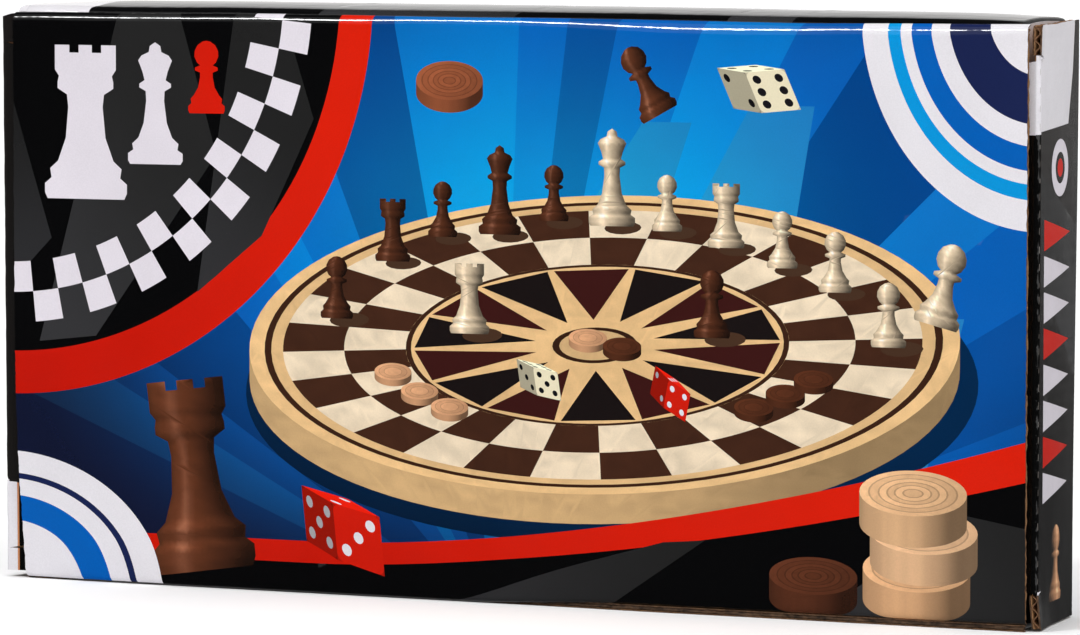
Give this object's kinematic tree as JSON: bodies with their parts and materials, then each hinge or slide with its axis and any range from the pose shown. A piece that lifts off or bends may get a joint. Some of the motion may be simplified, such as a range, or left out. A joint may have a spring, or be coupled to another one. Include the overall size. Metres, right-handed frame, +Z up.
{
  "type": "games compendium box",
  "caption": "Glossy printed corrugated carton with tuck ends, holding a folding wooden chess, draughts and backgammon case with its pieces.",
  "frame": {"origin": "centre of the underside of the standing carton", "axes": "+X along the carton towards the right end, +Y from the front panel to the back panel, +Z up"},
  "size_m": [0.3056, 0.038, 0.1606],
  "materials": {
    "printed_board": "gloss film over offset print, on fine corrugated board",
    "brown_board": "bare kraft liner and raw cut flutes",
    "veneered_board": "satin varnish over inlaid veneer",
    "pine_rail": "satin varnish",
    "brass": "bright brass plate",
    "light_wood": "waxed, turned",
    "dark_wood": "stained and waxed, turned",
    "ivory_plastic": "polished",
    "red_plastic": "polished"
  },
  "bodies": {
    "carton": {"front_panel": "printed_board", "top_panel": "printed_board", "back_panel": "printed_board", "bottom_panel": "brown_board", "glue_tab": "brown_board", "case_front_board": "veneered_board", "case_front_hinge_rail": "pine_rail", "case_front_clasp_rail": "pine_rail", "case_front_end_rails": "pine_rail", "case_back_board": "veneered_board", "case_back_hinge_rail": "pine_rail", "case_back_clasp_rail": "pine_rail", "case_back_end_rails": "pine_rail", "hinge_front_leaves": "brass", "hinge_back_leaves": "brass", "hinge_pins": "brass", "hinge_screws": "brass", "clasp_plates": "brass", "clasp_studs": "brass", "clasp_hook": "brass", "king_light": "light_wood", "king_dark": "dark_wood", "queen_light": "light_wood", "queen_dark": "dark_wood", "bishops_light": "light_wood", "bishops_dark": "dark_wood", "knights_light": "light_wood", "knights_dark": "dark_wood", "rooks_light": "light_wood", "rooks_dark": "dark_wood", "pawns_light": "light_wood", "pawns_dark": "dark_wood", "draughtsmen_light": "light_wood", "draughtsmen_dark": "dark_wood", "ivory_dice": "ivory_plastic", "red_dice": "red_plastic", "doubling_cube": "ivory_plastic"},
    "right_end_closure": {"right_end_closure": "printed_board"},
    "right_tuck_tab": {"right_tuck_tab": "printed_board"},
    "right_top_dust_flap": {"right_top_dust_flap": "brown_board"},
    "right_bottom_dust_flap": {"right_bottom_dust_flap": "brown_board"},
    "left_end_closure": {"left_end_closure": "printed_board"},
    "left_tuck_tab": {"left_tuck_tab": "printed_board"},
    "left_top_dust_flap": {"left_top_dust_flap": "brown_board"},
    "left_bottom_dust_flap": {"left_bottom_dust_flap": "brown_board"}
  },
  "joints": [
    {"name": "right_end_fold", "type": "hinge", "parent": "carton", "child": "right_end_closure", "pos_m": [0.14915, 0.01815, 0.079], "axis": [0, 0, 1], "range_deg": [-4.5, 170]},
    {"name": "right_tuck_fold", "type": "hinge", "parent": "right_end_closure", "child": "right_tuck_tab", "pos_m": [0.15184, -0.01604, 0.079], "axis": [0, 0, 1], "range_deg": [-34, 0.9]},
    {"name": "right_top_flap_fold", "type": "hinge", "parent": "carton", "child": "right_top_dust_flap", "pos_m": [0.14725, 0, 0.15715], "axis": [0, 1, 0], "range_deg": [-85, 2.25]},
    {"name": "right_bottom_flap_fold", "type": "hinge", "parent": "carton", "child": "right_bottom_dust_flap", "pos_m": [0.14725, 0, 0.00085], "axis": [0, 1, 0], "range_deg": [-2.25, 85]},
    {"name": "left_end_fold", "type": "hinge", "parent": "carton", "child": "left_end_closure", "pos_m": [-0.14915, 0.01815, 0.079], "axis": [0, 0, -1], "range_deg": [-4.5, 170]},
    {"name": "left_tuck_fold", "type": "hinge", "parent": "left_end_closure", "child": "left_tuck_tab", "pos_m": [-0.15184, -0.01604, 0.079], "axis": [0, 0, -1], "range_deg": [-34, 0.9]},
    {"name": "left_top_flap_fold", "type": "hinge", "parent": "carton", "child": "left_top_dust_flap", "pos_m": [-0.14725, 0, 0.15715], "axis": [0, -1, 0], "range_deg": [-85, 2.25]},
    {"name": "left_bottom_flap_fold", "type": "hinge", "parent": "carton", "child": "left_bottom_dust_flap", "pos_m": [-0.14725, 0, 0.00085], "axis": [0, -1, 0], "range_deg": [-2.25, 85]}
  ],
  "couplings": [
    {"joint": "right_tuck_fold", "follows": "right_end_fold", "ratio": -0.2},
    {"joint": "right_top_flap_fold", "follows": "right_end_fold", "ratio": -0.5},
    {"joint": "right_bottom_flap_fold", "follows": "right_end_fold", "ratio": 0.5},
    {"joint": "left_tuck_fold", "follows": "left_end_fold", "ratio": -0.2},
    {"joint": "left_top_flap_fold", "follows": "left_end_fold", "ratio": -0.5},
    {"joint": "left_bottom_flap_fold", "follows": "left_end_fold", "ratio": 0.5}
  ]
}
